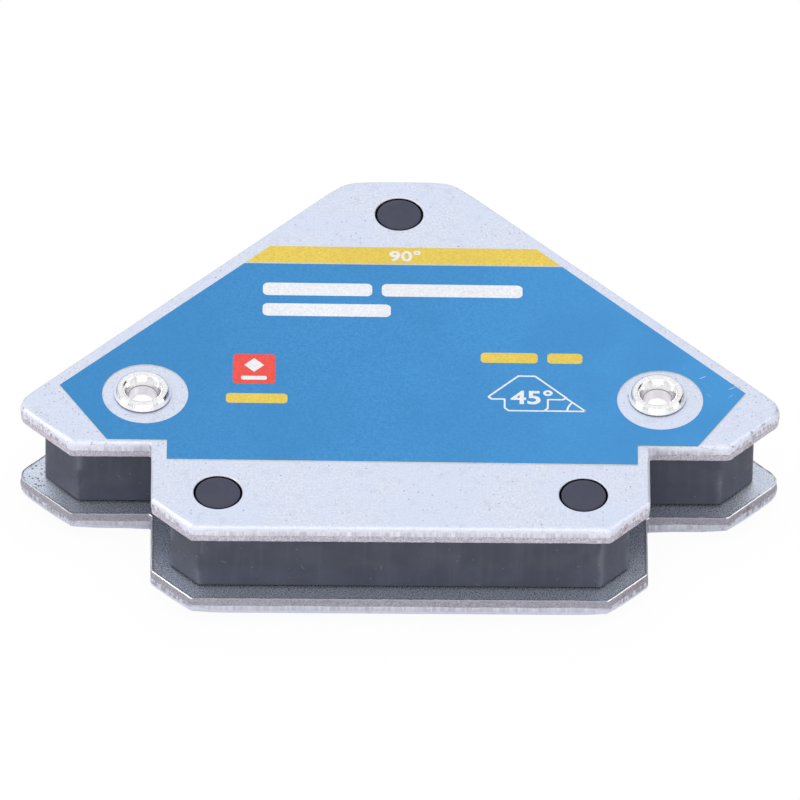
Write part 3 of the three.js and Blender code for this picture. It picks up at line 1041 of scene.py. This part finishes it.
def bars(places, layer=2):
    """Plain bars with rounded ends, where a real label has its words."""
    solid = Solid()
    for left, bottom, right, top in places:
        ink(solid, rectangle(left, bottom, right, top, 0.3 * min(right - left, top - bottom)), layer)
    return solid


def badge_mark():
    """A diamond over a short bar, on the badge."""
    x, y = DIAMOND_AT
    points = [(0, -1), (1, 0), (0, 1), (-1, 0)]
    diamond = [(x + DIAMOND_REACH * across, y + DIAMOND_REACH * up, 0.1) for across, up in points]
    return ink(bars([BADGE_BAR], 3), diamond, 3)


def digits(text, x, bottom, height):
    """Angle marks, such as a dial has, in the plain built-in type."""
    curve = bpy.data.curves.new("digits", "FONT")
    curve.body = text
    curve.size = 1.0
    curve.offset = DIGIT_WEIGHT
    curve.resolution_u = 5
    curve.extrude = 0.5
    text_object = bpy.data.objects.new("digits", curve)
    bpy.context.scene.collection.objects.link(text_object)
    bpy.context.view_layer.update()
    mesh = bpy.data.meshes.new_from_object(text_object)
    bpy.data.objects.remove(text_object)
    shape = bmesh.new()
    shape.from_mesh(mesh)
    bmesh.ops.remove_doubles(shape, verts=shape.verts, dist=1e-5)
    shape.to_mesh(mesh)
    shape.free()
    xs, ys, _ = zip(*(v.co for v in mesh.vertices))
    scale = height / (max(ys) - min(ys))
    middle = (max(xs) + min(xs)) / 2
    solid = Solid()
    for v in mesh.vertices:
        across = x + (v.co.x - middle) * scale * DIGIT_STRETCH
        at = on_label(Vector((across, bottom + (v.co.y - min(ys)) * scale)))
        solid.ring([Vector((at.x, at.y, LABEL_HIGH.z + INK * (1.5 + v.co.z)))])
    solid.faces = [tuple(face.vertices) for face in mesh.polygons]
    return solid


def stroke(start, end):
    """The four corners of a straight line of print, anticlockwise."""
    along = (end - start).normalized()
    side = Vector((-along.y, along.x)) * LINE / 2
    return [(at.x, at.y, LINE / 4) for at in (start - side, end - side, end + side, start + side)]


def pictogram():
    """A line drawing of the holder's own outline, with its slope carried down to the base at 45 degrees."""
    soft = 0.25
    left, right = 12.76, 18.16
    base, step, top = 21.93, 24.03, 28.28
    tip_left, tip_right = 10.71, 20.51
    outline = [
        (left + 0.5, base, soft),
        (right - 0.5, base, soft),
        (right, base + 0.5, soft),
        (right, step, soft / 2),
        (tip_right - 0.55, step, soft),
        (tip_right, step + 0.3, soft / 2),
        (16.58, top, soft),
        (14.46, top, soft),
        (tip_left, step + 0.4, soft),
        (tip_left + 0.4, step, soft),
        (left, step, soft / 2),
        (left, base + 0.5, soft),
    ]
    solid = ink(Solid(), inset(outline, -LINE / 2), 2, [inset(outline, LINE / 2)])
    heel = Vector((22.89, base))
    ink(solid, stroke(Vector((right - 0.3, base)), heel), 3)
    ink(solid, stroke(heel, Vector((tip_right - 0.1, step + 0.3))), 3)
    reach = 2.3
    outside = arc(heel, reach + LINE / 2, reach + LINE / 2, 135, 180, 12)
    inside = arc(heel, reach - LINE / 2, reach - LINE / 2, 180, 135, 12)
    return ink(solid, [(x, y, 0.01) for x, y in outside + inside], 2)


def add_label():
    film = printed("label_film", rgb(220, 218, 202))
    # The blue ink is painted darker to the left and paler to the right: painted light.
    blue = printed("blue_ink", rgb(37, 143, 212), 1.0)
    yellow = printed("yellow_ink", rgb(240, 210, 79))
    white = printed("white_ink", rgb(246, 249, 255))
    red = printed("red_ink", rgb(250, 74, 62))

    sheet = Solid()
    sheet.slab(laid(rounded(label_corners())), label_openings(), LABEL_LOW.z, LABEL_HIGH.z, FILM_EDGE)
    field = Solid()
    field.slab(laid(rounded(blue_field())), label_openings(PRINT_MARGIN), LABEL_HIGH.z, LABEL_HIGH.z + INK)

    add_piece("label_film", sheet, film, "face_label")
    for name, solid, material in (
        ("label_blue_field", field, blue),
        ("label_yellow_band", ink(Solid(), yellow_band()), yellow),
        ("label_badge", ink(Solid(), rectangle(*BADGE, 0.5), 2), red),
        ("label_badge_mark", badge_mark(), white),
        ("label_title_bars", bars(TITLE_BARS), white),
        ("label_yellow_bars", bars(YELLOW_BARS), yellow),
        ("label_pictogram", pictogram(), white),
        ("label_90_degrees", digits("90°", 0.2, 49.2, 2.0), white),
        ("label_45_degrees", digits("45°", 16.14, 23.13, 2.6), white),
    ):
        add_piece(name, solid, material)


# ---- Stage ----

CAMERA_TILT = math.radians(43.07)
CAMERA_YAW = math.radians(0.94)
CAMERA_ROLL = math.radians(-1.05)
CAMERA_DISTANCE = 2.533
CAMERA_LENS = 907.3  # millimetres
CAMERA_AIM = Vector((0, 0, -0.0005))
CAMERA_OFFSET = Vector((-0.00011, 0.00007))

FLOOR_HALF = 1.5
FLOOR_SHADE = 0.955  # the floor's brightness in the closest corners

# The dark opening: its direction, the angles from it where it starts and where it is darkest, and its light.
DARK_SIDE = (0.93, 0.28, 0.2)
DARK_RIM = math.radians(31)
DARK_CORE = math.radians(19)
DARK_LIGHT = 0.08


def add_camera():
    """A very long lens, looking down at the front from the labelled side."""
    across = Vector((math.cos(CAMERA_YAW), -math.sin(CAMERA_YAW), 0))
    along = Vector((math.sin(CAMERA_YAW), math.cos(CAMERA_YAW), 0))
    up = math.sin(CAMERA_TILT) * along + math.cos(CAMERA_TILT) * Vector((0, 0, 1))
    ahead = math.cos(CAMERA_TILT) * along - math.sin(CAMERA_TILT) * Vector((0, 0, 1))
    right = math.cos(CAMERA_ROLL) * across - math.sin(CAMERA_ROLL) * up
    top = math.sin(CAMERA_ROLL) * across + math.cos(CAMERA_ROLL) * up
    at = CAMERA_AIM - CAMERA_OFFSET.x * across - CAMERA_OFFSET.y * up - CAMERA_DISTANCE * ahead
    data = bpy.data.cameras.new("camera")
    data.lens = CAMERA_LENS
    data.clip_end = 100
    camera = bpy.data.objects.new("camera", data)
    camera.matrix_world = Matrix.Translation(at) @ Matrix((right, top, -ahead)).transposed().to_4x4()
    bpy.context.scene.collection.objects.link(camera)
    bpy.context.scene.camera = camera


def add_floor():
    low, _ = cad_box
    mesh = bpy.data.meshes.new("floor")
    corners = ((-1, -1), (1, -1), (1, 1), (-1, 1))
    mesh.from_pydata([(x * FLOOR_HALF, y * FLOOR_HALF, low[2]) for x, y in corners], [], [(0, 1, 2, 3)])
    mesh.materials.append(floor_material())
    floor = bpy.data.objects.new("floor", mesh)
    bpy.context.scene.collection.objects.link(floor)


def floor_material():
    """Plain pale paper, clear from below. The camera sees it evenly lit, with a faint shade by the object."""
    material = bpy.data.materials.new("pale_floor")
    tree = Nodes(material)
    surface = tree.nodes["Principled BSDF"]
    tree.feed(surface.inputs["Base Color"], (0.86, 0.86, 0.87, 1))
    tree.feed(surface.inputs["Roughness"], 0.9)
    open_air = tree.add("AmbientOcclusion", {"Distance": 0.012}, samples=8).outputs["AO"]
    glow = tree.add("Emission", {"Strength": tree.ramp(open_air, 0.0, 1.0, FLOOR_SHADE, 1.0)}).outputs[0]
    camera_ray = tree.add("LightPath").outputs["Is Camera Ray"]
    seen = tree.add("MixShader", {0: camera_ray, 1: surface.outputs[0], 2: glow}).outputs[0]
    below = tree.add("NewGeometry").outputs["Backfacing"]
    clear = tree.add("BsdfTransparent").outputs[0]
    sides = tree.add("MixShader", {0: below, 1: seen, 2: clear}).outputs[0]
    tree.feed(tree.nodes["Material Output"].inputs["Surface"], sides)
    return material


def add_world():
    """An even white studio, a little dimmer towards the horizon, with one dark opening at the right."""
    world = bpy.data.worlds.new("studio")
    bpy.context.scene.world = world
    tree = Nodes(world)
    ray = tree.add("TexCoord").outputs["Generated"]
    rise = tree.ramp(tree.add("SeparateXYZ", {0: ray}).outputs["Z"], 0.0, 0.55, 0.6, 0.96)
    middle = Vector(DARK_SIDE).normalized()
    facing = tree.add("VectorMath", {0: ray, 1: middle}, operation="DOT_PRODUCT").outputs["Value"]
    opening = tree.step(facing, math.cos(DARK_RIM), math.cos(DARK_CORE), 1.0, DARK_LIGHT)
    background = tree.nodes["Background"]
    tree.feed(background.inputs["Strength"], tree.times(rise, opening))
    tree.feed(background.inputs["Color"], WHITE)


def add_light(name, at, size, power):
    """An area light that faces the object."""
    data = bpy.data.lights.new(name, "AREA")
    data.shape = "RECTANGLE"
    data.size, data.size_y = size
    data.energy = power
    light = bpy.data.objects.new(name, data)
    light.location = at
    light.rotation_euler = (-Vector(at)).to_track_quat("-Z", "Y").to_euler()
    bpy.context.scene.collection.objects.link(light)


# ---- Everything together ----

upper_zinc = zinc_steel("upper_zinc", UPPER_EDGE)
# The lower plate's steel is a copy of the upper's with darker edges: painted shade.
shaded_lower_zinc = zinc_steel("shaded_lower_zinc", SHADED_LOWER_EDGE)
plastic = moulded_plastic()
add_plate("upper_pole_plate", "upper_plate", PLATE_HIGH.z, PLATE_LOW.z, upper_zinc)
add_plate("lower_pole_plate", "lower_plate", -PLATE_HIGH.z, -PLATE_LOW.z, shaded_lower_zinc)
add_core(plastic)
for rivet in RIVETS:
    add_rivet(rivet)
for peg in PEGS:
    add_peg(peg, plastic)
add_magnets()
add_label()

add_camera()
add_floor()
add_world()
add_light("front_softbox", (0.0, -0.85, 0.3), (0.9, 0.35), 1.2)
add_light("right_softbox", (0.88, -0.16, 0.36), (0.4, 0.5), 1.2)
add_light("left_softbox", (-0.88, -0.16, 0.36), (0.4, 0.5), 2.2)
bpy.context.scene.view_settings.view_transform = "Standard"
